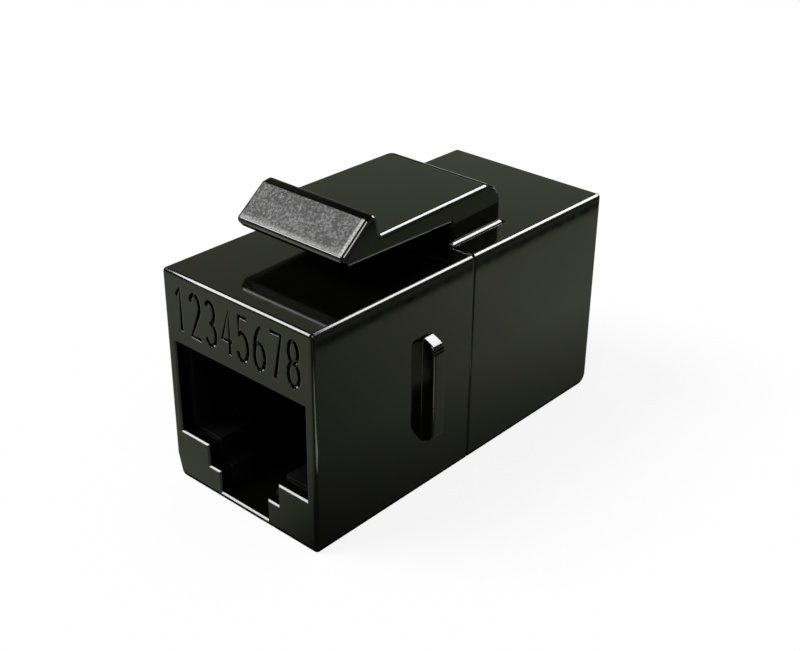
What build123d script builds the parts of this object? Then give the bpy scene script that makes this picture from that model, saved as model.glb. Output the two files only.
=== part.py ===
from build123d import *
import os

# Ethernet feed-through coupler, in millimetres.
# Frame: +X across the width, +Y from the front port to the rear port, +Z up. The origin is the
# middle of the underside.
# Each end of the coupler is drawn in an end frame first, with its port face at y = 0 and the inside
# towards +y. The rear end is that frame turned half a turn about Z.

# Running clearance between pieces that seat in each other
FIT = 0.05

# Across the width, from the plug outwards
CAVITY_W = 11.9
INSERT_WALL = 0.45
SIDE_WALL = 0.8
BODY_W = CAVITY_W + 2 * (INSERT_WALL + FIT + SIDE_WALL)
INNER_HALF = BODY_W / 2 - SIDE_WALL

# Up the height, from the underside
FLOOR = 0.5
STEP_RISE = 1.74
LEDGE_RISE = 1.76
PORT_H = 7.33
LIP = 0.2
RELIEF = 0.8
SHELF = 0.9
GROOVE = 0.75
TOP_SPACE = 2.37
TOP_WALL = 0.8
STEP_Z = FLOOR + STEP_RISE
LEDGE_Z = STEP_Z + LEDGE_RISE
PORT_TOP = LEDGE_Z + PORT_H
CEILING_Z = PORT_TOP - LIP
SHELF_Z = CEILING_Z + RELIEF + SHELF
INSERT_TOP = SHELF_Z + GROOVE
SHOULDER_Z = INSERT_TOP + FIT
ROOF_Z = SHOULDER_Z + TOP_SPACE
BODY_H = ROOF_Z + TOP_WALL

# Along the length, from the port face inwards
BODY_L = 31.4
JOINT_Y = 0.2
FACE_WALL = 1.0
GATE = 1.9
BACK_WALL = 1.5
TAIL_SPACE = 1.7
BOARD_T = 1.0
HALF_L = BODY_L / 2
FRONT_LEN = HALF_L + JOINT_Y
BOARD_FACE = HALF_L - BOARD_T / 2
INSERT_END = BOARD_FACE - TAIL_SPACE
CAVITY_END = INSERT_END - BACK_WALL

# Housing edges
EDGE_R = 0.3
SEAM_EDGE = 0.12
SEAM_GAP = 0.03
FOOT_CUT_W = 0.45
FOOT_CUT_H = 1.8
FOOT_CUT_R = 0.5
REAR_FOOT_R = 0.9

# Opening of a port in its face, beside the plug cavity behind it
PORT_SIDE_LIP = 0.45
STEP_HALF = 3.55
SLOT_HALF = 2.42
PORT_EDGE = 0.6 * (FLOOR - EDGE_R)

# Inside of a housing
SHOULDER_W = 0.8
CORNER_CUT = 0.8
TONGUE_T = 0.38
TONGUE_LEN = 1.6
TONGUE_LOW = 2.0
TONGUE_HIGH = 13.0

# Rib on each side of the front housing, which stops it in a panel
RIB_OUT = 1.1
RIB_FRONT = 10.5
RIB_T = 1.1
RIB_LOW = 4.05
RIB_HIGH = 12.4
RIB_SLOPE = 0.5
RIB_CORNER_R = 0.9
RIB_EDGE_R = 0.2
RIB_ROOT = 0.3

# Latch: heights are above the housing's top, reaches are ahead of the leg's front face
LATCH_INSET = 2.45
TAB_SPREAD = 0.3
LATCH_GAP = 0.1
LEG_GAP = 0.25
LEG_T = 5.62
ROOT_FLARE = 0.15
ARM_UNDER_ROOT = 1.62
ARM_UNDER_TIP = 1.98
ARM_TOP_ROOT = 3.38
ARM_TOP_STEP = 3.28
NOSE_REACH = 11.28
NOSE_Z = 2.65
NOSE_UNDERCUT = 0.56
THUMB_RUN = 2.58
RIDGE_Z = 4.72
RIDGE_RISE = 0.15
RIDGE_T = 0.85
STEP_RUN = 0.35
ARM_BEND_R = 1.9
TAB_CORNER_R = 0.35
STEP_CORNER_R = 0.2
LATCH_EDGE_R = 0.3
NOTCH_EDGE = 0.08

# Round foot of the latch and the two cheeks that hold it
PIN_R = 0.9
PIN_GAP = 0.05
CHEEK_T = 3.0
ENTRY_H = 1.5
LATCH_HALF = BODY_W / 2 - LATCH_INSET
LEG_FRONT = JOINT_Y + LEG_GAP
LEG_BACK = LEG_FRONT + LEG_T
PIN_Y = (LEG_FRONT + LEG_BACK) / 2
PIN_Z = ROOF_Z - PIN_GAP - PIN_R
PIN_HALF = INNER_HALF - SHOULDER_W
TIP_REACH = NOSE_REACH - NOSE_UNDERCUT
RIDGE_FRONT = NOSE_REACH - THUMB_RUN
RIDGE_BACK = RIDGE_FRONT - RIDGE_T
STEP_REACH = RIDGE_BACK - STEP_RUN

# Contacts: flat wires bent on edge, side by side at the pitch of a modular plug
CONTACTS = 8
PITCH = 1.016
WIRE_W = 0.45
WIRE_T = 0.3
WIRE_BEND_R = 0.5
COMB_GAP = 0.1
BEND_FRONT = 4.0
BEND_DROP = 1.13
WINDOW = 3.6
SPRING_DROP = 2.3
END_REACH = 0.4
GUIDE_DEPTH = 0.95
ROW_DROP = 1.5
REAR_TAIL_DROP = 6.0
TAIL_STICK = 0.5
HOLE_R = 0.38
HOLE_SIDES = 12
RUN_Z = SHELF_Z + WIRE_T / 2
SPRING_END_Z = CEILING_Z - SPRING_DROP
SLOT_W = WIRE_W + 2 * COMB_GAP

# Spare length of a cutting tool past the face that it leaves by
PAST = 1.0


def along_y(outline, start, end):
    """A solid whose outline lies in X and Z, from y = start to y = end."""
    return extrude(Plane.XZ.offset(-start) * outline, amount=end - start, dir=(0, 1, 0))


def across_x(outline, low, high):
    """A solid whose outline lies in Y and Z, from x = low to x = high."""
    return extrude(Plane.YZ.offset(low) * outline, amount=high - low, dir=(1, 0, 0))


def block(x, y, z):
    """A rectangular solid between the given low and high X, Y and Z."""
    size = Box(x[1] - x[0], y[1] - y[0], z[1] - z[0], align=(Align.MIN, Align.MIN, Align.MIN))
    return Pos(x[0], y[0], z[0]) * size


def outline(*points):
    return Polygon(*points, align=None)


def both_halves(right):
    """The closed outline of a right half and its mirror image, top to bottom."""
    return outline(*right, *[(-u, v) for u, v in reversed(right)])


def rounded(shape, corners, radius):
    """The outline with the named corners rounded."""
    for u, v in corners:
        shape = fillet(shape.vertices().sort_by_distance((u, v, 0))[0], radius)
    return shape


def half_turn(part):
    """From the end frame to the rear end of the coupler."""
    return Pos(0, HALF_L, 0) * Rot(0, 0, 180) * part


def to_front(part):
    """From the end frame to the front end of the coupler."""
    return Pos(0, -HALF_L, 0) * part


def contact_x(number):
    """Where a contact lies in its end frame, counted from the left of someone facing the port."""
    return (number - (CONTACTS + 1) / 2) * PITCH


def tail_drop(number, set_drop):
    """How far a contact's tail lies below its run: every second one is a row lower."""
    return set_drop + ROW_DROP * ((number + 1) % 2)


def body_block(length, cut_side, foot_r):
    """The outside of a housing: one bottom edge cut back, edges rounded, and a fine bevel at the joint."""
    half = BODY_W / 2
    section = outline(
        (cut_side * (half - FOOT_CUT_W), 0),
        (cut_side * half, FOOT_CUT_H),
        (cut_side * half, BODY_H),
        (-cut_side * half, BODY_H),
        (-cut_side * half, 0),
    )
    shape = along_y(section, 0, length)
    if foot_r:
        foot = shape.edges().filter_by(Axis.X).sort_by_distance((0, 0, 0))[0]
        shape = fillet(foot, foot_r)
    low = (cut_side * (half - FOOT_CUT_W), length / 2, 0)
    shape = fillet(shape.edges().filter_by(Axis.Y).sort_by_distance(low)[0], FOOT_CUT_R)
    outer = [edge for edge in shape.edges() if edge.center().Y < length - 0.01]
    shape = fillet(outer, EDGE_R)
    return chamfer(shape.edges().filter_by_position(Axis.Y, length - 0.01, length + 0.01), SEAM_EDGE)


def port_outline(half, top, ledge, step_half, step, slot_half, slot):
    """A modular port seen from the front: wide for the plug, stepped in below for its clip."""
    return both_halves([(half, top), (half, ledge), (step_half, ledge), (step_half, step),
                        (slot_half, step), (slot_half, slot)])


def housing(length, cut_side, foot_r=0):
    """One housing in its end frame: a box open at the back, with the port in its face."""
    shape = body_block(length, cut_side, foot_r)
    shoulder = INNER_HALF - SHOULDER_W
    inside = both_halves([(shoulder, ROOF_Z), (shoulder, SHOULDER_Z), (INNER_HALF, SHOULDER_Z),
                          (INNER_HALF, FLOOR + CORNER_CUT), (INNER_HALF - CORNER_CUT, FLOOR)])
    shape -= along_y(inside, FACE_WALL, length + PAST)
    half = CAVITY_W / 2 + PORT_SIDE_LIP
    port = port_outline(half, PORT_TOP, LEDGE_Z, STEP_HALF, STEP_Z, SLOT_HALF, FLOOR)
    shape -= along_y(port, -PAST, FACE_WALL + PAST)
    rim = [edge for edge in shape.edges().filter_by_position(Axis.Y, -0.01, 0.01)
           if abs(edge.center().X) < half + 0.01 and FLOOR - 0.01 < edge.center().Z < PORT_TOP + 0.01]
    return chamfer(rim, PORT_EDGE)


def side_rib():
    """The rib on the +X side, standing on the wall with a sloped head and foot."""
    wall = BODY_W / 2
    low_corner = (wall + RIB_OUT, RIB_LOW + RIB_SLOPE)
    high_corner = (wall + RIB_OUT, RIB_HIGH - RIB_SLOPE)
    profile = outline((wall - RIB_ROOT, RIB_LOW), (wall, RIB_LOW), low_corner, high_corner,
                      (wall, RIB_HIGH), (wall - RIB_ROOT, RIB_HIGH))
    shape = along_y(rounded(profile, [low_corner, high_corner], RIB_CORNER_R), RIB_FRONT, RIB_FRONT + RIB_T)
    outer = [edge for edge in shape.edges() if edge.center().X > wall + 0.01]
    front = [edge for edge in outer if edge.center().Y < RIB_FRONT + 0.01]
    return fillet(front, RIB_EDGE_R)


def front_housing():
    shape = housing(FRONT_LEN - SEAM_GAP / 2, -1)
    rib = side_rib()
    tongue = block((INNER_HALF, INNER_HALF + TONGUE_T), (FRONT_LEN - PAST, FRONT_LEN + TONGUE_LEN),
                   (TONGUE_LOW, TONGUE_HIGH))
    for piece in (rib, tongue):
        shape += piece
        shape += mirror(piece, about=Plane.YZ)
    return to_front(shape)


def latch_half(y):
    """Half the width of the latch, which spreads a little from its leg to the nose of the tab."""
    return LATCH_HALF + TAB_SPREAD * (LEG_BACK - y) / (LEG_T + NOSE_REACH)


def latch_plan(spare, front, back):
    """The latch seen from above between two places along its length, with a spare width round it."""
    near = latch_half(front) + spare
    far = latch_half(back) + spare
    return outline((near, front), (far, back + spare), (-far, back + spare), (-near, front))


def latch_notch():
    """The space round the latch's root in the top of the rear housing."""
    plan = latch_plan(ROOT_FLARE + LATCH_GAP, JOINT_Y - PAST, LEG_BACK)
    return Pos(0, 0, ROOF_Z - PAST) * extrude(plan, amount=TOP_WALL + 2 * PAST)


def rear_housing():
    length = BODY_L - FRONT_LEN - SEAM_GAP / 2
    shape = housing(length, 1, REAR_FOOT_R)
    recess = block((INNER_HALF - PAST, INNER_HALF + TONGUE_T + FIT),
                   (length - TONGUE_LEN - FIT, length + PAST), (TONGUE_LOW - FIT, TONGUE_HIGH + FIT))
    shape -= recess
    shape -= mirror(recess, about=Plane.YZ)
    shape = half_turn(shape)
    # Cheeks each side of the notch, open towards the joint, where the latch's round foot snaps in
    notch_half = latch_half(LEG_FRONT) + ROOT_FLARE + LATCH_GAP
    cheek = block((notch_half, PIN_HALF + FIT), (PIN_Y - CHEEK_T / 2, PIN_Y + CHEEK_T / 2),
                  (SHOULDER_Z, ROOF_Z + TOP_WALL / 2))
    shape += cheek
    shape += mirror(cheek, about=Plane.YZ)
    bore_r = PIN_R + PIN_GAP
    shape -= Pos(0, PIN_Y, PIN_Z) * Rot(0, 90, 0) * Cylinder(bore_r, 2 * (PIN_HALF + FIT))
    shape -= block((-PIN_HALF - FIT, PIN_HALF + FIT), (PIN_Y - CHEEK_T, PIN_Y),
                   (PIN_Z - ENTRY_H / 2, PIN_Z + ENTRY_H / 2))
    shape -= latch_notch()
    end = LEG_BACK + ROOT_FLARE + LATCH_GAP
    rim = [edge for edge in shape.edges().filter_by_position(Axis.Z, BODY_H - 0.01, BODY_H + 0.01)
           if abs(edge.center().X) < notch_half and edge.center().Y < end + 0.01]
    return chamfer(rim, NOTCH_EDGE)


def keystone_latch():
    """Thumb tab, arm and leg in one piece, on a flared root with a round foot that is also its hinge."""
    def point(reach, height):
        return (LEG_FRONT - reach, BODY_H + height)

    nose = point(NOSE_REACH, NOSE_Z)
    ridge_front = point(RIDGE_FRONT, RIDGE_Z)
    ridge_back = point(RIDGE_BACK, RIDGE_Z + RIDGE_RISE)
    step = point(STEP_REACH, ARM_TOP_STEP)
    bend = (LEG_BACK, BODY_H + ARM_TOP_ROOT)
    root = point(0, ARM_UNDER_ROOT)
    tip = point(TIP_REACH, ARM_UNDER_TIP)
    side = outline(nose, ridge_front, ridge_back, step, bend,
                   (LEG_BACK, PIN_Z), (LEG_FRONT, PIN_Z), root, tip)
    side = rounded(side, [bend], ARM_BEND_R)
    side = rounded(side, [tip, root, nose, ridge_front, ridge_back], TAB_CORNER_R)
    side = rounded(side, [step], STEP_CORNER_R)
    shape = across_x(side, -BODY_W / 2, BODY_W / 2)
    plan = latch_plan(0, LEG_FRONT - NOSE_REACH, LEG_BACK)
    shape &= Pos(0, 0, PIN_Z) * extrude(plan, amount=BODY_H)
    flanks = [edge for edge in shape.edges() if abs(edge.center().X) > LATCH_HALF - 0.01]
    shape = fillet(flanks, LATCH_EDGE_R)
    root_plan = latch_plan(ROOT_FLARE, LEG_FRONT, LEG_BACK)
    shape += Pos(0, 0, PIN_Z) * extrude(root_plan, amount=BODY_H - PIN_Z)
    shape += Pos(0, 0, BODY_H) * extrude(root_plan, amount=ROOT_FLARE, taper=45)
    return shape + Pos(0, PIN_Y, PIN_Z) * Rot(0, 90, 0) * Cylinder(PIN_R, 2 * PIN_HALF)


def comb_slot():
    """The space for one contact: groove on top, window for its bend, relief and guide for its spring."""
    front = BEND_FRONT - WIRE_T / 2 - 2 * COMB_GAP
    window_end = BEND_FRONT + WINDOW
    guide_end = CAVITY_END + GUIDE_DEPTH
    guide_low = SPRING_END_Z - WIRE_T / 2 - 2 * COMB_GAP
    relief_z = CEILING_Z + RELIEF
    top = INSERT_TOP + PAST
    side = outline((front, top), (front, CEILING_Z - PAST), (CAVITY_END - FIT, CEILING_Z - PAST),
                   (CAVITY_END - FIT, guide_low), (guide_end, guide_low), (guide_end, relief_z),
                   (window_end, relief_z), (window_end, SHELF_Z), (INSERT_END + PAST, SHELF_Z),
                   (INSERT_END + PAST, top))
    return across_x(side, -SLOT_W / 2, SLOT_W / 2)


def jack_insert():
    """The frame behind a port in its end frame: plug cavity, catch for the clip, comb and stand-offs."""
    half = INNER_HALF - FIT
    low = FLOOR + FIT
    section = both_halves([(half, INSERT_TOP), (half, low + CORNER_CUT), (half - CORNER_CUT, low)])
    shape = along_y(section, FACE_WALL + FIT, INSERT_END)
    cavity_half = CAVITY_W / 2
    ledge = LEDGE_Z + LIP
    clip_half = STEP_HALF - LIP
    gate_end = FACE_WALL + FIT + GATE
    mouth = port_outline(cavity_half, CEILING_Z, ledge, clip_half, STEP_Z + LIP, SLOT_HALF - LIP, 0)
    shape -= along_y(mouth, 0, gate_end)
    shape -= block((-cavity_half, cavity_half), (0, CAVITY_END), (ledge, CEILING_Z))
    shape -= block((-clip_half, clip_half), (gate_end, CAVITY_END), (0, ledge + PAST))
    for number in range(1, CONTACTS + 1):
        shape -= Pos(contact_x(number), 0, 0) * comb_slot()
    stand_off = block((half - SHOULDER_W, half), (INSERT_END - PAST, BOARD_FACE - FIT),
                      (low + CORNER_CUT, INSERT_TOP))
    shape += stand_off
    return shape + mirror(stand_off, about=Plane.YZ)


def contact(number, set_drop):
    """One contact in its end frame, from the free end of its spring to its tail through the board."""
    drop = tail_drop(number, set_drop)
    tail_y = HALF_L + BOARD_T / 2 + TAIL_STICK
    jog_y = INSERT_END + TAIL_SPACE / 2
    path = [(CAVITY_END + END_REACH, SPRING_END_Z), (BEND_FRONT, RUN_Z - BEND_DROP), (BEND_FRONT, RUN_Z)]
    if drop:
        path += [(jog_y, RUN_Z), (jog_y, RUN_Z - drop)]
    path.append((tail_y, RUN_Z - drop))
    line = FilletPolyline(*path, radius=WIRE_BEND_R)
    strip = trace(line, WIRE_T)
    return Pos(contact_x(number), 0, 0) * across_x(strip, -WIRE_W / 2, WIRE_W / 2)


def circuit_board():
    """The upright board between the inserts, with a hole for every tail."""
    half = INNER_HALF - FIT
    low = FLOOR + FIT
    section = both_halves([(half, INSERT_TOP), (half, low + CORNER_CUT), (half - CORNER_CUT, low)])
    shape = along_y(section, -BOARD_T / 2, BOARD_T / 2)
    for number in range(1, CONTACTS + 1):
        for side, set_drop in ((1, 0), (-1, REAR_TAIL_DROP)):
            place = Pos(side * contact_x(number), 0, RUN_Z - tail_drop(number, set_drop))
            shape -= place * along_y(RegularPolygon(HOLE_R, HOLE_SIDES), -BOARD_T, BOARD_T)
    return shape


def all_parts():
    insert = jack_insert()
    parts = {
        "front_housing": front_housing(),
        "rear_housing": rear_housing(),
        "keystone_latch": keystone_latch(),
        "front_jack_insert": to_front(insert),
        "rear_jack_insert": half_turn(insert),
        "circuit_board": circuit_board(),
    }
    for number in range(1, CONTACTS + 1):
        parts[f"front_contact_{number}"] = to_front(contact(number, 0))
        parts[f"rear_contact_{number}"] = half_turn(contact(number, REAR_TAIL_DROP))
    return parts


os.makedirs("parts", exist_ok=True)
for name, part in all_parts().items():
    export_step(part, f"parts/{name}.step")
print("body", round(BODY_W, 2), "x", BODY_L, "x", round(BODY_H, 2))
print("hinge at y", round(PIN_Y, 3), "z", round(PIN_Z, 3))
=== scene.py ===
import bpy
import math
from mathutils import Matrix, Vector


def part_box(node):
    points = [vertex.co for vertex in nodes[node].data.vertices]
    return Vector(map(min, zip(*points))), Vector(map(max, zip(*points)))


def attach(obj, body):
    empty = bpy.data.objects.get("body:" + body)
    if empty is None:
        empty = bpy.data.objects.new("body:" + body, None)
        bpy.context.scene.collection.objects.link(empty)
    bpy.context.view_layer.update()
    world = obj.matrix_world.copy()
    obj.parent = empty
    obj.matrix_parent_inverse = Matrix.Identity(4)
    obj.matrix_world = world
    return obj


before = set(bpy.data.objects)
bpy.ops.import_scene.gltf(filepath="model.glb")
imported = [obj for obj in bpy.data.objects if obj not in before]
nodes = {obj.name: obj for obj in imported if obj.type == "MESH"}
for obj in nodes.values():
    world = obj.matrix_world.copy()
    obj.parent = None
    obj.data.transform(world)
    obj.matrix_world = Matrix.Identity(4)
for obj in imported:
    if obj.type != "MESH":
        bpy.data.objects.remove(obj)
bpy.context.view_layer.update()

# Lengths are in metres, as in the frame, and angles in degrees. A fade is written as low, high, start, end,
# and goes from start to end while the place or value that it follows goes from low to high
MM = 0.001

# Camera: place round the middle of the housings, and its lens
AZIMUTH = 41.63
ELEVATION = 28.18
ROLL = 0.61
DISTANCE = 98.5 * MM
PAN_RIGHT = 0.40 * MM
PAN_UP = 0.32 * MM
LENS_MM = 58.67
SENSOR_MM = 36
NEAREST_SEEN = 5 * MM

# Plain numbers pressed into the face above the port, with round-nosed grooves
DIGIT_W = 1.0 * MM
DIGIT_H = 3.3 * MM
DIGIT_PITCH = 1.58 * MM
DIGIT_TOP_GAP = 1.0 * MM
GROOVE_R = 0.2 * MM
GROOVE_SINK = 0.13 * MM
GROOVE_ROUNDNESS = 3
ARC_STEP = 15
ARC_LEAST_STEPS = 4

# Mesh that the numbers are pressed into: how near its points are merged, and which edges stay sharp
WELD_GAP = 0.001 * MM
SHARP_ANGLE = 35

# Where most values of a noise lie
NOISE_SPREAD = (0.3, 0.7)

# Gloss plastic: darker and lighter tone, least and most roughness, rounding of the edges
GLOSS_DARK = (0.0012, 0.0013, 0.0010, 1)
GLOSS_LIGHT = (0.0022, 0.0024, 0.0017, 1)
GLOSS_ROUGHNESS = (0.05, 0.085)
GLOSS_IOR = 1.5
EDGE_R = 0.1 * MM
EDGE_SAMPLES = 6

# Thumb face: how far it runs forwards and down, and how squarely a face must lie along it to be textured
THUMB_RUN = 2.58 * MM
THUMB_DROP = 2.1 * MM
THUMB_FACING = (0.985, 0.998)

# Thumb face: its tones, the colour of the painted highlight on its rims, the share of its fine grain in the
# speckle and the speckle's range
THUMB_DARK = (0.001, 0.001, 0.001, 1)
THUMB_LIGHT = (0.17, 0.17, 0.165, 1)
THUMB_RIM_HIGHLIGHT = (0.5, 0.5, 0.48, 1)
THUMB_ROUGHNESS = 0.6
GRAIN_SHARE = 0.8
SPECKLE_SPREAD = (0.46, 0.66)

# Painted highlights on the rims of the thumb face: they fade outwards on the right and down from the latch's
# top, broken by the grain
SIDE_RIM_HIGHLIGHT = (4.45 * MM, 4.65 * MM, 0, 1)
LOW_RIM_HIGHLIGHT = (1.75 * MM, 1.95 * MM, 0, 0.6)
RIM_HIGHLIGHT_BREAKS = (0.3, 0.6, 0.35, 1)

# Inserts
INSERT_DARK = (0.001, 0.001, 0.001, 1)
INSERT_LIGHT = (0.003, 0.003, 0.003, 1)
INSERT_ROUGHNESS = (0.45, 0.62)
INSERT_SHINE = 0.12

# Circuit board
LACQUER_DARK = (0.006, 0.06, 0.022, 1)
LACQUER_LIGHT = (0.012, 0.10, 0.036, 1)
LACQUER_ROUGHNESS = (0.3, 0.36)
WEAVE_PITCH = 0.25 * MM

# Contacts
GOLD_DARK = (0.62, 0.40, 0.13, 1)
GOLD_LIGHT = (0.80, 0.56, 0.22, 1)
GOLD_ROUGHNESS = (0.22, 0.34)
DRAW_STRETCH = (1, 0.08, 0.3)

# Floor and world
WHITE = (1, 1, 1, 1)
WORLD_LIGHT = 0.45
FLOOR_REACH = 700 * MM
FLOOR_PAINT = (0.98, 0.98, 0.98, 1)
FLOOR_GLOW_SHARE = 0.87
FLOOR_DROP = 0.01 * MM

# Grey with a trace of olive, for the cards that the plastic mirrors
CARD_TINT = (0.95, 1.04, 0.76, 1)

# Surround: its fades upwards from the floor, and towards the front
SURROUND_R = 450 * MM
SURROUND_H = 450 * MM
SURROUND_SIDES = 64
SURROUND_RISE = (90 * MM, 150 * MM, 0.02, 0.34)
SURROUND_FADE = (150 * MM, 240 * MM, 1, 0.72)
SURROUND_LID = (280 * MM, 360 * MM, 1, 0.08)
SURROUND_FRONT = (200 * MM, 400 * MM, 1, 0.15)
FRONTWARDS = Vector((-0.66, -0.75))

# Floor card: it starts a little outside the housings
CARD_REACH = 160 * MM
CARD_RISE = 0.01 * MM
CARD_GAP = 0.3 * MM
CARD_START = 0.05 * MM

# Floor card on the right: fades along X, but along Y where the name says rearwards; its dark start by the
# object is a painted shadow of the object
RIGHT_OUTWARDS = (8 * MM, 16 * MM, 0.16, 0.33)
RIGHT_REARWARDS = (-14 * MM, 24 * MM, 0.32, 1.36)
RIGHT_GAP_START = (27 * MM, 27.6 * MM, 1, 0)
RIGHT_GAP_END = (28 * MM, 28.6 * MM, 0, 0.19)
RIGHT_DIM = (35 * MM, 37 * MM, 1, 0.1)
RIGHT_FAR = (55 * MM, 100 * MM, 0, 0.2)

# Light band on the right by the front: fades along X, then across the slant of the band
BAND_START = (16.5 * MM, 17.5 * MM, 0, 2.5)
BAND_END = (29 * MM, 30 * MM, 1, 0)
BAND_REAR = (8 * MM, 7 * MM, 0, 1)
BAND_FRONT = (-3 * MM, -2 * MM, 0, 1)
BAND_SLOPE = 0.889

# Floor card in front: the foot, dark as a painted shadow of the object, and the further right end fade along
# X, the rest along Y
FRONT_FOOT = (6.5 * MM, -2 * MM, 0.05, 0.46)
FRONT_FURTHER = (-20 * MM, -26 * MM, 0, 0.46)
FRONT_FURTHER_END = (16 * MM, 8 * MM, 0, 1)
FRONT_TOP = (-28 * MM, -33 * MM, 0, 0.08)

# Floor card on the left, along X, and behind, along Y
LEFT_OUTWARDS = (-9 * MM, -24 * MM, 0, 0.4)
REAR_OUTWARDS = (17 * MM, 32 * MM, 0, 0.4)

# Bright strips that the rounded edges mirror
STRIP_DISTANCE = 300 * MM

# Corners of a square, two wide, in the order of its outline
SQUARE = ((-1, -1), (1, -1), (1, 1), (-1, 1))

front_low, front_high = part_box("front_housing")
_, rear_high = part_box("rear_housing")
_, latch_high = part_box("keystone_latch")
centre = Vector((0, 0, rear_high.z / 2))


def new_material(name):
    """An empty node material with its surface shader."""
    material = bpy.data.materials.new(name)
    material.use_nodes = True
    tree = material.node_tree
    return material, tree, tree.nodes["Principled BSDF"]


def cleared_tree(owner):
    """The node tree of a material or a world, with nothing in it."""
    owner.use_nodes = True
    owner.node_tree.nodes.clear()
    return owner.node_tree


def node(tree, kind, inputs=None, **settings):
    """A shader node with its settings, its input values and its links."""
    made = tree.nodes.new(kind)
    for key, value in settings.items():
        setattr(made, key, value)
    for key, value in (inputs or {}).items():
        if isinstance(value, bpy.types.NodeSocket):
            tree.links.new(value, made.inputs[key])
        else:
            made.inputs[key].default_value = value
    return made


def own_place(tree):
    """A point's place in its piece's own coordinates."""
    return node(tree, "ShaderNodeTexCoord").outputs["Object"]


def noise(tree, place, size, detail=2.0, roughness=0.5):
    """Soft noise with features of the given size."""
    inputs = {"Vector": place, "Scale": 1 / size, "Detail": detail, "Roughness": roughness}
    return node(tree, "ShaderNodeTexNoise", inputs).outputs["Fac"]


def ramp(tree, factor, low, high, start, end):
    """A value that goes from start to end while the factor goes from low to high."""
    inputs = {"Value": factor, "From Min": low, "From Max": high, "To Min": start, "To Max": end}
    return node(tree, "ShaderNodeMapRange", inputs).outputs["Result"]


def blend_colours(tree, factor, first, second):
    """A colour between two, each a colour or a socket."""
    made = node(tree, "ShaderNodeMix", data_type="RGBA")
    for key, value in {"Factor": factor, "A": first, "B": second}.items():
        socket = next(s for s in made.inputs if s.name == key and s.enabled)
        if isinstance(value, bpy.types.NodeSocket):
            tree.links.new(value, socket)
        else:
            socket.default_value = value
    return next(s for s in made.outputs if s.enabled)


def combine(tree, operation, *values):
    """The result of one kind of arithmetic step, taken over the values in turn."""
    result = values[0]
    for value in values[1:]:
        result = node(tree, "ShaderNodeMath", {0: result, 1: value}, operation=operation).outputs[0]
    return result


def relief(tree, height, strength, depth, normal=None):
    """Relief in the shading alone, over the given normal where there is one."""
    inputs = {"Height": height, "Strength": strength, "Distance": depth}
    if normal is not None:
        inputs["Normal"] = normal
    return node(tree, "ShaderNodeBump", inputs).outputs["Normal"]


def finish(tree, shader, tint, roughness, normal):
    """Links a surface's colour, roughness and relief to its shader."""
    tree.links.new(tint, shader.inputs["Base Color"])
    tree.links.new(roughness, shader.inputs["Roughness"])
    tree.links.new(normal, shader.inputs["Normal"])


def gloss_black(name):
    """Black moulded plastic: nearly mirror smooth, with a slight olive tint and faint mould waves."""
    material, tree, shader = new_material(name)
    place = own_place(tree)
    cloud = noise(tree, place, size=4 * MM)
    smear = noise(tree, place, size=1.2 * MM, detail=3)
    waves = noise(tree, place, size=0.9 * MM, detail=1)
    rounded = node(tree, "ShaderNodeBevel", {"Radius": EDGE_R}, samples=EDGE_SAMPLES).outputs["Normal"]
    finish(tree, shader,
           tint=blend_colours(tree, cloud, GLOSS_DARK, GLOSS_LIGHT),
           roughness=ramp(tree, smear, *NOISE_SPREAD, *GLOSS_ROUGHNESS),
           normal=relief(tree, waves, strength=0.25, depth=0.004 * MM, normal=rounded))
    shader.inputs["IOR"].default_value = GLOSS_IOR
    return material, tree, shader


def latch_black():
    """The same black, with a fine spark-eroded texture on the sloped thumb face, and a painted highlight
    along its right and lower rims.
    """
    material, tree, shader = gloss_black("latch_plastic")
    plain_tint = shader.inputs["Base Color"].links[0].from_socket
    plain_roughness = shader.inputs["Roughness"].links[0].from_socket
    plain_normal = shader.inputs["Normal"].links[0].from_socket

    slope = Vector((0, -THUMB_DROP, THUMB_RUN)).normalized()
    coordinates = node(tree, "ShaderNodeTexCoord").outputs
    along = {0: coordinates["Normal"], 1: slope}
    facing = node(tree, "ShaderNodeVectorMath", along, operation="DOT_PRODUCT").outputs["Value"]
    face = ramp(tree, facing, *THUMB_FACING, 0, 1)

    place = coordinates["Object"]
    grain = noise(tree, place, size=0.2 * MM, detail=2, roughness=0.7)
    patches = noise(tree, place, size=1.3 * MM, detail=2)
    fine_share = combine(tree, "MULTIPLY", grain, GRAIN_SHARE)
    speckle = combine(tree, "ADD", fine_share, combine(tree, "MULTIPLY", patches, 1 - GRAIN_SHARE))

    axes = node(tree, "ShaderNodeSeparateXYZ", {0: place}).outputs
    below_top = combine(tree, "SUBTRACT", latch_high.z, axes["Z"])
    # Painted highlight: the thumb face's rims are lightened where lamps would catch its rounded edges
    rim_highlight_mask = combine(tree, "MAXIMUM", ramp(tree, axes["X"], *SIDE_RIM_HIGHLIGHT), ramp(tree, below_top, *LOW_RIM_HIGHLIGHT))
    painted_rim_highlight = combine(tree, "MULTIPLY", rim_highlight_mask, ramp(tree, grain, *RIM_HIGHLIGHT_BREAKS))

    grey = blend_colours(tree, ramp(tree, speckle, *SPECKLE_SPREAD, 0, 1), THUMB_DARK, THUMB_LIGHT)
    grey = blend_colours(tree, painted_rim_highlight, grey, THUMB_RIM_HIGHLIGHT)
    pits = combine(tree, "MULTIPLY", grain, face)
    finish(tree, shader,
           tint=blend_colours(tree, face, plain_tint, grey),
           roughness=ramp(tree, face, 0, 1, plain_roughness, THUMB_ROUGHNESS),
           normal=relief(tree, pits, strength=0.8, depth=0.05 * MM, normal=plain_normal))
    return material


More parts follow.
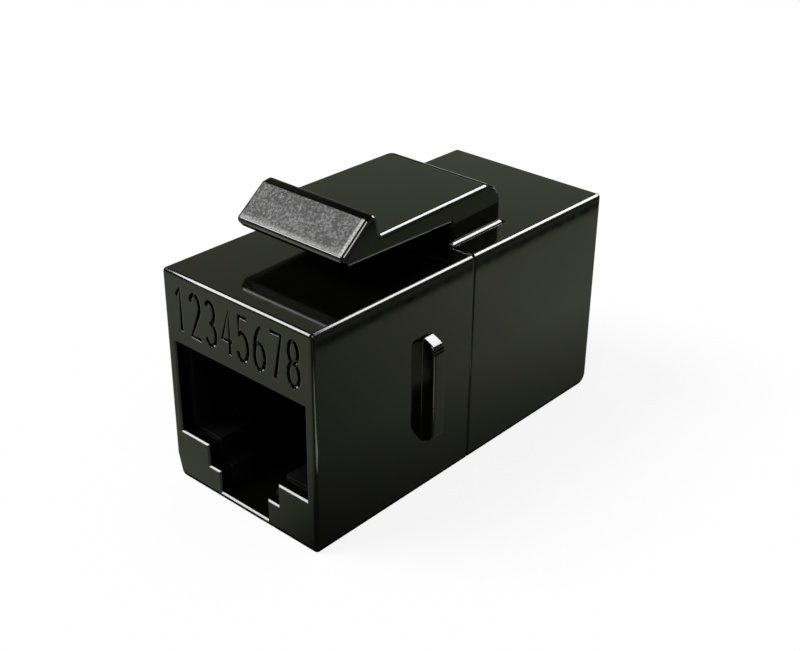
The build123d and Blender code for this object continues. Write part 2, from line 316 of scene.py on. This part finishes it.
def matte_black():
    """Glass-filled black of the inserts: dull, slightly mottled."""
    material, tree, shader = new_material("insert_plastic")
    place = own_place(tree)
    mottle = noise(tree, place, size=0.8 * MM, detail=4)
    smear = noise(tree, place, size=0.5 * MM)
    fibres = noise(tree, place, size=0.12 * MM)
    finish(tree, shader,
           tint=blend_colours(tree, mottle, INSERT_DARK, INSERT_LIGHT),
           roughness=ramp(tree, smear, *NOISE_SPREAD, *INSERT_ROUGHNESS),
           normal=relief(tree, fibres, strength=0.4, depth=0.01 * MM))
    shader.inputs["Specular IOR Level"].default_value = INSERT_SHINE
    return material


def solder_mask():
    """Green lacquer over a woven board."""
    material, tree, shader = new_material("board_lacquer")
    place = own_place(tree)
    cloud = noise(tree, place, size=0.6 * MM, detail=3)
    weave = node(tree, "ShaderNodeTexChecker", {"Vector": place, "Scale": 1 / WEAVE_PITCH}).outputs["Fac"]
    finish(tree, shader,
           tint=blend_colours(tree, cloud, LACQUER_DARK, LACQUER_LIGHT),
           roughness=ramp(tree, weave, 0, 1, *LACQUER_ROUGHNESS),
           normal=relief(tree, weave, strength=0.2, depth=0.01 * MM))
    return material


def gold_plate():
    """Gold over spring bronze, with draw lines along the wire."""
    material, tree, shader = new_material("contact_gold")
    place = own_place(tree)
    cloud = noise(tree, place, size=0.9 * MM)
    stretched = node(tree, "ShaderNodeMapping", {"Vector": place, "Scale": DRAW_STRETCH}).outputs["Vector"]
    lines = noise(tree, stretched, size=0.05 * MM, detail=2)
    finish(tree, shader,
           tint=blend_colours(tree, cloud, GOLD_DARK, GOLD_LIGHT),
           roughness=ramp(tree, lines, *NOISE_SPREAD, *GOLD_ROUGHNESS),
           normal=relief(tree, lines, strength=0.2, depth=0.01 * MM))
    shader.inputs["Metallic"].default_value = 1.0
    return material


def dress_nodes():
    """A material for every piece of the frame."""
    housing = gloss_black("housing_plastic")[0]
    insert = matte_black()
    finishes = {
        "front_housing": housing,
        "rear_housing": housing,
        "keystone_latch": latch_black(),
        "front_jack_insert": insert,
        "rear_jack_insert": insert,
        "circuit_board": solder_mask(),
    }
    gold = gold_plate()
    for name, piece in nodes.items():
        piece.material_slots[0].material = finishes.get(name, gold)


def arc(across, height, half_w, half_h, start, end):
    """Points along part of an ellipse, with its angles in degrees."""
    steps = max(ARC_LEAST_STEPS, round(abs(end - start) / ARC_STEP))
    turns = [math.radians(start + (end - start) * k / steps) for k in range(steps + 1)]
    return [(across + half_w * math.cos(turn), height + half_h * math.sin(turn)) for turn in turns]


def digit_strokes():
    """The strokes of the digits 1 to 8, in a cell one wide and two high."""
    return [
        [[(0.15, 1.6), (0.55, 2.0), (0.55, 0.0)]],
        [arc(0.5, 1.48, 0.47, 0.52, 165, -35) + [(0.02, 0.0), (1.0, 0.0)]],
        [arc(0.46, 1.52, 0.42, 0.48, 150, -90) + arc(0.46, 0.52, 0.5, 0.52, 90, -155)],
        [[(0.74, 0.0), (0.74, 2.0), (0.0, 0.62), (1.0, 0.62)]],
        [[(0.92, 2.0), (0.16, 2.0)] + arc(0.44, 0.64, 0.52, 0.64, 130, -155)],
        [arc(1.0, 0.62, 0.98, 1.38, 105, 180) + arc(0.5, 0.6, 0.48, 0.6, 180, 535)],
        [[(0.0, 2.0), (0.98, 2.0), (0.36, 0.0)]],
        [arc(0.5, 1.52, 0.42, 0.48, -90, 265), arc(0.5, 0.52, 0.5, 0.52, 90, 445)],
    ]


def digit_cutter():
    """Round-nosed grooves in the shape of the digits, as one hidden tool."""
    data = bpy.data.curves.new("digit_grooves", "CURVE")
    data.dimensions = "3D"
    data.bevel_depth = GROOVE_R
    data.bevel_resolution = GROOVE_ROUNDNESS
    data.use_fill_caps = True
    glyphs = digit_strokes()
    foot = front_high.z - DIGIT_TOP_GAP - DIGIT_H
    for number, strokes in enumerate(glyphs):
        left = (number - (len(glyphs) - 1) / 2) * DIGIT_PITCH - DIGIT_W / 2
        for stroke in strokes:
            spline = data.splines.new("POLY")
            spline.points.add(len(stroke) - 1)
            for point, (u, v) in zip(spline.points, stroke):
                point.co = (left + u * DIGIT_W, front_low.y + GROOVE_SINK, foot + v * DIGIT_H / 2, 1)
    curve = bpy.data.objects.new("digit_grooves", data)
    bpy.context.scene.collection.objects.link(curve)
    bpy.context.view_layer.update()
    mesh = bpy.data.meshes.new_from_object(curve.evaluated_get(bpy.context.evaluated_depsgraph_get()))
    bpy.data.objects.remove(curve)
    cutter = bpy.data.objects.new("digit_cutter", mesh)
    bpy.context.scene.collection.objects.link(cutter)
    cutter.hide_render = True
    cutter.hide_viewport = True
    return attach(cutter, "body")


def press_digits(housing):
    """Cuts the digits, and keeps the flat faces shaded flat and the rounded edges smooth."""
    weld = housing.modifiers.new("weld", "WELD")
    weld.merge_threshold = WELD_GAP
    cut = housing.modifiers.new("digits", "BOOLEAN")
    cut.operation = "DIFFERENCE"
    cut.solver = "EXACT"
    cut.use_self = True
    cut.object = digit_cutter()
    split = housing.modifiers.new("split", "EDGE_SPLIT")
    split.split_angle = math.radians(SHARP_ANGLE)
    shading = housing.modifiers.new("shading", "WEIGHTED_NORMAL")
    shading.mode = "FACE_AREA"


def stage_mesh(name, vertices, faces):
    """A mesh of the studio, which is no piece of the object."""
    mesh = bpy.data.meshes.new(name)
    mesh.from_pydata([tuple(v) for v in vertices], [], faces)
    made = bpy.data.objects.new(name, mesh)
    bpy.context.scene.collection.objects.link(made)
    return made


def lay_square(name, reach, height):
    """A level square about the origin, at the given height."""
    corners = [(u * reach, v * reach, height) for u, v in SQUARE]
    return stage_mesh(name, corners, [(0, 1, 2, 3)])


def seen_directly(tree):
    """1 for what the camera sees, also in reflections and through glass, and 0 for light that is cast."""
    rays = node(tree, "ShaderNodeLightPath").outputs
    return combine(tree, "MAXIMUM", rays["Is Camera Ray"], rays["Is Glossy Ray"], rays["Is Transmission Ray"])


def light_world():
    """White behind the object, and a plain grey light on it."""
    world = bpy.data.worlds.new("studio")
    bpy.context.scene.world = world
    tree = cleared_tree(world)
    light = node(tree, "ShaderNodeBackground", {"Color": WHITE, "Strength": WORLD_LIGHT})
    white = node(tree, "ShaderNodeBackground", {"Color": WHITE, "Strength": 1.0})
    choice = {0: seen_directly(tree), 1: light.outputs[0], 2: white.outputs[0]}
    mixed = node(tree, "ShaderNodeMixShader", choice)
    node(tree, "ShaderNodeOutputWorld", {"Surface": mixed.outputs[0]})


def lay_floor():
    """A pale floor that shows as white, with the object's soft shadow on it."""
    floor = lay_square("floor", FLOOR_REACH, -FLOOR_DROP)
    material = bpy.data.materials.new("pale_floor")
    tree = cleared_tree(material)
    paint = node(tree, "ShaderNodeBsdfDiffuse", {"Color": FLOOR_PAINT})
    glow = node(tree, "ShaderNodeEmission", {"Color": WHITE, "Strength": seen_directly(tree)})
    share = node(tree, "ShaderNodeMixShader", {0: FLOOR_GLOW_SHARE, 1: paint.outputs[0], 2: glow.outputs[0]})
    node(tree, "ShaderNodeOutputMaterial", {"Surface": share.outputs[0]})
    floor.data.materials.append(material)


def make_card(card, colour, brightness):
    """Makes a mesh glow by its place, and leaves it to reflections alone."""
    material = bpy.data.materials.new(card.name)
    tree = cleared_tree(material)
    axes = node(tree, "ShaderNodeSeparateXYZ", {0: own_place(tree)}).outputs
    glow = node(tree, "ShaderNodeEmission", {"Color": colour, "Strength": brightness(tree, axes)})
    node(tree, "ShaderNodeOutputMaterial", {"Surface": glow.outputs[0]})
    card.data.materials.append(material)
    card.visible_camera = False
    card.visible_diffuse = False
    card.visible_transmission = False
    card.visible_volume_scatter = False
    card.visible_shadow = False


def surround_brightness(tree, axes):
    """Dark by the floor, overhead and in front, and grey between."""
    across = combine(tree, "MULTIPLY", axes["X"], FRONTWARDS.x)
    frontwards = combine(tree, "ADD", across, combine(tree, "MULTIPLY", axes["Y"], FRONTWARDS.y))
    upwards = [ramp(tree, axes["Z"], *fade) for fade in (SURROUND_RISE, SURROUND_FADE, SURROUND_LID)]
    return combine(tree, "MULTIPLY", *upwards, ramp(tree, frontwards, *SURROUND_FRONT))


def stand_surround():
    """A round card with a lid that stands all round the object for reflections."""
    turns = [math.tau * k / SURROUND_SIDES for k in range(SURROUND_SIDES)]
    ring = [(SURROUND_R * math.cos(turn), SURROUND_R * math.sin(turn)) for turn in turns]
    vertices = [(x, y, z) for z in (0, SURROUND_H) for x, y in ring]
    lid = [SURROUND_SIDES + k for k in range(SURROUND_SIDES)]
    following = [(k + 1) % SURROUND_SIDES for k in range(SURROUND_SIDES)]
    walls = [(k, after, lid[after], lid[k]) for k, after in enumerate(following)]
    card = stage_mesh("surround", vertices, walls + [tuple(lid)])
    make_card(card, CARD_TINT, surround_brightness)


def right_brightness(tree, axes):
    """What the right side mirrors: darker by the object, a painted shadow of it, and towards the front, with
    a dark gap.
    """
    outwards = ramp(tree, axes["X"], *RIGHT_OUTWARDS)
    rearwards = ramp(tree, axes["Y"], *RIGHT_REARWARDS)
    near = combine(tree, "MULTIPLY", outwards, rearwards, ramp(tree, axes["X"], *RIGHT_GAP_START))
    gap_end = ramp(tree, axes["X"], *RIGHT_GAP_END)
    middle = combine(tree, "MULTIPLY", gap_end, ramp(tree, axes["X"], *RIGHT_DIM))
    far = ramp(tree, axes["X"], *RIGHT_FAR)
    return combine(tree, "ADD", near, combine(tree, "MAXIMUM", middle, far))


def band_brightness(tree, axes):
    """A light band for the bevels of the seam and of the right rib to mirror."""
    slant = combine(tree, "ADD", axes["Y"], combine(tree, "MULTIPLY", axes["X"], BAND_SLOPE))
    length = combine(tree, "MULTIPLY", ramp(tree, axes["X"], *BAND_START), ramp(tree, axes["X"], *BAND_END))
    width = combine(tree, "MULTIPLY", ramp(tree, slant, *BAND_REAR), ramp(tree, slant, *BAND_FRONT))
    return combine(tree, "MULTIPLY", length, width)


def front_brightness(tree, axes):
    """What the front face mirrors: darker at the foot of its right end, a painted shadow of the object,
    brighter at the top.
    """
    foot = ramp(tree, axes["X"], *FRONT_FOOT)
    end = ramp(tree, axes["X"], *FRONT_FURTHER_END)
    further = combine(tree, "MULTIPLY", ramp(tree, axes["Y"], *FRONT_FURTHER), end)
    top = ramp(tree, axes["Y"], *FRONT_TOP)
    return combine(tree, "ADD", combine(tree, "MAXIMUM", foot, further), top)


def floor_brightness(tree, axes):
    """Black under the object and dark close by it, a painted shadow of the object, and beyond it what each of
    its sides mirrors.
    """
    right_start = rear_high.x + CARD_GAP
    front_start = front_low.y - CARD_GAP
    right = ramp(tree, axes["X"], right_start, right_start + CARD_START, 0, 1)
    front = ramp(tree, axes["Y"], front_start, front_start - CARD_START, 0, 1)
    not_right = combine(tree, "SUBTRACT", 1.0, right)
    not_front = combine(tree, "SUBTRACT", 1.0, front)
    left_and_rear = combine(tree, "MAXIMUM", ramp(tree, axes["X"], *LEFT_OUTWARDS),
                            ramp(tree, axes["Y"], *REAR_OUTWARDS))
    return combine(tree, "MAXIMUM",
                   combine(tree, "MULTIPLY", right, right_brightness(tree, axes)),
                   combine(tree, "MULTIPLY", front, front_brightness(tree, axes)),
                   combine(tree, "MULTIPLY", not_right, not_front, left_and_rear),
                   band_brightness(tree, axes))


def hang_card(name, direction, along, length, width, radiance):
    """A bright strip that faces the object and that only reflections see, long in the given direction."""
    way = Vector(direction).normalized()
    long_side = (Vector(along) - Vector(along).dot(way) * way).normalized()
    short_side = way.cross(long_side)
    middle = centre + way * STRIP_DISTANCE
    corners = [middle + long_side * (length / 2 * u) + short_side * (width / 2 * v) for u, v in SQUARE]
    make_card(stage_mesh(name, corners, [(0, 1, 2, 3)]), WHITE, lambda tree, axes: radiance)


def hang_lamp(name, direction, spread, light_level):
    """A plain soft lamp far away, which shows a colour at the given share of its own brightness."""
    light = bpy.data.lights.new(name, "SUN")
    light.angle = math.radians(spread)
    light.energy = light_level * math.pi
    lamp = bpy.data.objects.new(name, light)
    bpy.context.scene.collection.objects.link(lamp)
    lamp.rotation_mode = "QUATERNION"
    lamp.rotation_quaternion = (-Vector(direction)).to_track_quat("-Z", "Y")
    lamp.visible_glossy = False


def add_camera():
    """The photograph's camera, which looks at the middle of the housings and is then rolled and panned."""
    azimuth = math.radians(AZIMUTH)
    elevation = math.radians(ELEVATION)
    roll = math.radians(ROLL)
    level = math.cos(elevation)
    back = Vector((math.sin(azimuth) * level, -math.cos(azimuth) * level, math.sin(elevation)))
    level_right = Vector((math.cos(azimuth), math.sin(azimuth), 0))
    level_up = back.cross(level_right)
    right = level_right * math.cos(roll) + level_up * math.sin(roll)
    up = level_up * math.cos(roll) - level_right * math.sin(roll)
    data = bpy.data.cameras.new("camera")
    data.lens = LENS_MM
    data.sensor_width = SENSOR_MM
    data.clip_start = NEAREST_SEEN
    camera = bpy.data.objects.new("camera", data)
    bpy.context.scene.collection.objects.link(camera)
    place = centre + back * DISTANCE + right * PAN_RIGHT + up * PAN_UP
    camera.matrix_world = Matrix.Translation(place) @ Matrix((right, up, back)).transposed().to_4x4()
    bpy.context.scene.camera = camera


dress_nodes()
press_digits(nodes["front_housing"])
lay_floor()
stand_surround()
make_card(lay_square("floor_card", CARD_REACH, CARD_RISE), CARD_TINT, floor_brightness)
hang_card("front_edge_card", direction=(-0.63, -0.42, 0.66), along=(0, -0.85, -0.52),
          length=220 * MM, width=90 * MM, radiance=17)
hang_card("side_edge_card", direction=(0.15, 0.70, 0.70), along=(0.98, 0, -0.21),
          length=210 * MM, width=130 * MM, radiance=18)
hang_card("thumb_rim_card", direction=(0.6, -0.3, 0.74), along=(1, 0, -0.8),
          length=120 * MM, width=80 * MM, radiance=12)
hang_lamp("key_lamp", direction=(-0.45, -0.45, 0.77), spread=30, light_level=0.76)
light_world()
add_camera()
bpy.context.scene.view_settings.view_transform = "Standard"
